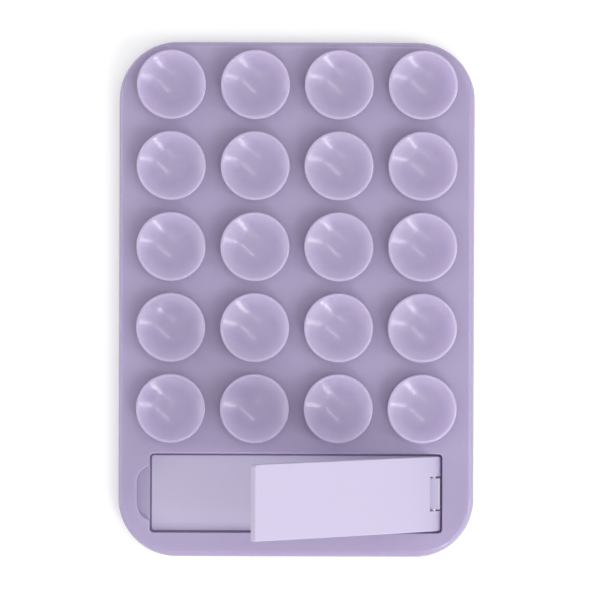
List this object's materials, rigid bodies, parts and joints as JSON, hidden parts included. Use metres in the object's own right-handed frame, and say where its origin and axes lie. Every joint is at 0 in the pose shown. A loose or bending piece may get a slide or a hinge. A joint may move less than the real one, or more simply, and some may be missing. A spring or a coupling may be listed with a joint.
{
  "type": "suction cup phone holder",
  "caption": "Silicone pad with a grid of small suction cups on its face, an adhesive back, and a fold-out kickstand in a window below the cups.",
  "frame": {"origin": "under the middle of the pad, on the adhesive face", "axes": "+X across the pad towards the stand's hinge, +Y up the pad to its top edge, +Z out of the face that carries the cups"},
  "size_m": [0.0616, 0.0892, 0.0415],
  "materials": {
    "silicone": "lavender silicone rubber, satin",
    "stand_plastic": "pale lavender moulded plastic, satin",
    "plate_plastic": "moulded plastic, matt",
    "adhesive_foam": "white closed-cell foam with a tacky adhesive skin",
    "steel": "drawn steel wire"
  },
  "bodies": {
    "pad": {"suction_pad": "silicone", "back_plate": "plate_plastic", "adhesive_pad": "adhesive_foam", "stand_base": "stand_plastic", "cup_wall_1_1": "silicone", "cup_wall_1_2": "silicone", "cup_wall_1_3": "silicone", "cup_wall_1_4": "silicone", "cup_wall_2_1": "silicone", "cup_wall_2_2": "silicone", "cup_wall_2_3": "silicone", "cup_wall_2_4": "silicone", "cup_wall_3_1": "silicone", "cup_wall_3_2": "silicone", "cup_wall_3_3": "silicone", "cup_wall_3_4": "silicone", "cup_wall_4_1": "silicone", "cup_wall_4_2": "silicone", "cup_wall_4_3": "silicone", "cup_wall_4_4": "silicone", "cup_wall_5_1": "silicone", "cup_wall_5_2": "silicone", "cup_wall_5_3": "silicone", "cup_wall_5_4": "silicone"},
    "stand": {"kickstand": "stand_plastic", "hinge_pin": "steel"},
    "cup_1_1": {"cup_lip_1_1": "silicone"},
    "cup_1_2": {"cup_lip_1_2": "silicone"},
    "cup_1_3": {"cup_lip_1_3": "silicone"},
    "cup_1_4": {"cup_lip_1_4": "silicone"},
    "cup_2_1": {"cup_lip_2_1": "silicone"},
    "cup_2_2": {"cup_lip_2_2": "silicone"},
    "cup_2_3": {"cup_lip_2_3": "silicone"},
    "cup_2_4": {"cup_lip_2_4": "silicone"},
    "cup_3_1": {"cup_lip_3_1": "silicone"},
    "cup_3_2": {"cup_lip_3_2": "silicone"},
    "cup_3_3": {"cup_lip_3_3": "silicone"},
    "cup_3_4": {"cup_lip_3_4": "silicone"},
    "cup_4_1": {"cup_lip_4_1": "silicone"},
    "cup_4_2": {"cup_lip_4_2": "silicone"},
    "cup_4_3": {"cup_lip_4_3": "silicone"},
    "cup_4_4": {"cup_lip_4_4": "silicone"},
    "cup_5_1": {"cup_lip_5_1": "silicone"},
    "cup_5_2": {"cup_lip_5_2": "silicone"},
    "cup_5_3": {"cup_lip_5_3": "silicone"},
    "cup_5_4": {"cup_lip_5_4": "silicone"}
  },
  "joints": [
    {"name": "stand_hinge", "type": "hinge", "parent": "pad", "child": "stand", "pos_m": [0.02395, -0.0336, 0.0036], "axis": [0, 1, 0], "range_deg": [-50, 25]},
    {"name": "cup_press_1_1", "type": "slide", "parent": "pad", "child": "cup_1_1", "axis": [0, 0, -1], "range_m": [0, 0.001], "stiffness_N_per_m": 400, "deforming": ["cup_wall_1_1"]},
    {"name": "cup_press_1_2", "type": "slide", "parent": "pad", "child": "cup_1_2", "axis": [0, 0, -1], "range_m": [0, 0.001], "stiffness_N_per_m": 400, "deforming": ["cup_wall_1_2"]},
    {"name": "cup_press_1_3", "type": "slide", "parent": "pad", "child": "cup_1_3", "axis": [0, 0, -1], "range_m": [0, 0.001], "stiffness_N_per_m": 400, "deforming": ["cup_wall_1_3"]},
    {"name": "cup_press_1_4", "type": "slide", "parent": "pad", "child": "cup_1_4", "axis": [0, 0, -1], "range_m": [0, 0.001], "stiffness_N_per_m": 400, "deforming": ["cup_wall_1_4"]},
    {"name": "cup_press_2_1", "type": "slide", "parent": "pad", "child": "cup_2_1", "axis": [0, 0, -1], "range_m": [0, 0.001], "stiffness_N_per_m": 400, "deforming": ["cup_wall_2_1"]},
    {"name": "cup_press_2_2", "type": "slide", "parent": "pad", "child": "cup_2_2", "axis": [0, 0, -1], "range_m": [0, 0.001], "stiffness_N_per_m": 400, "deforming": ["cup_wall_2_2"]},
    {"name": "cup_press_2_3", "type": "slide", "parent": "pad", "child": "cup_2_3", "axis": [0, 0, -1], "range_m": [0, 0.001], "stiffness_N_per_m": 400, "deforming": ["cup_wall_2_3"]},
    {"name": "cup_press_2_4", "type": "slide", "parent": "pad", "child": "cup_2_4", "axis": [0, 0, -1], "range_m": [0, 0.001], "stiffness_N_per_m": 400, "deforming": ["cup_wall_2_4"]},
    {"name": "cup_press_3_1", "type": "slide", "parent": "pad", "child": "cup_3_1", "axis": [0, 0, -1], "range_m": [0, 0.001], "stiffness_N_per_m": 400, "deforming": ["cup_wall_3_1"]},
    {"name": "cup_press_3_2", "type": "slide", "parent": "pad", "child": "cup_3_2", "axis": [0, 0, -1], "range_m": [0, 0.001], "stiffness_N_per_m": 400, "deforming": ["cup_wall_3_2"]},
    {"name": "cup_press_3_3", "type": "slide", "parent": "pad", "child": "cup_3_3", "axis": [0, 0, -1], "range_m": [0, 0.001], "stiffness_N_per_m": 400, "deforming": ["cup_wall_3_3"]},
    {"name": "cup_press_3_4", "type": "slide", "parent": "pad", "child": "cup_3_4", "axis": [0, 0, -1], "range_m": [0, 0.001], "stiffness_N_per_m": 400, "deforming": ["cup_wall_3_4"]},
    {"name": "cup_press_4_1", "type": "slide", "parent": "pad", "child": "cup_4_1", "axis": [0, 0, -1], "range_m": [0, 0.001], "stiffness_N_per_m": 400, "deforming": ["cup_wall_4_1"]},
    {"name": "cup_press_4_2", "type": "slide", "parent": "pad", "child": "cup_4_2", "axis": [0, 0, -1], "range_m": [0, 0.001], "stiffness_N_per_m": 400, "deforming": ["cup_wall_4_2"]},
    {"name": "cup_press_4_3", "type": "slide", "parent": "pad", "child": "cup_4_3", "axis": [0, 0, -1], "range_m": [0, 0.001], "stiffness_N_per_m": 400, "deforming": ["cup_wall_4_3"]},
    {"name": "cup_press_4_4", "type": "slide", "parent": "pad", "child": "cup_4_4", "axis": [0, 0, -1], "range_m": [0, 0.001], "stiffness_N_per_m": 400, "deforming": ["cup_wall_4_4"]},
    {"name": "cup_press_5_1", "type": "slide", "parent": "pad", "child": "cup_5_1", "axis": [0, 0, -1], "range_m": [0, 0.001], "stiffness_N_per_m": 400, "deforming": ["cup_wall_5_1"]},
    {"name": "cup_press_5_2", "type": "slide", "parent": "pad", "child": "cup_5_2", "axis": [0, 0, -1], "range_m": [0, 0.001], "stiffness_N_per_m": 400, "deforming": ["cup_wall_5_2"]},
    {"name": "cup_press_5_3", "type": "slide", "parent": "pad", "child": "cup_5_3", "axis": [0, 0, -1], "range_m": [0, 0.001], "stiffness_N_per_m": 400, "deforming": ["cup_wall_5_3"]},
    {"name": "cup_press_5_4", "type": "slide", "parent": "pad", "child": "cup_5_4", "axis": [0, 0, -1], "range_m": [0, 0.001], "stiffness_N_per_m": 400, "deforming": ["cup_wall_5_4"]}
  ]
}
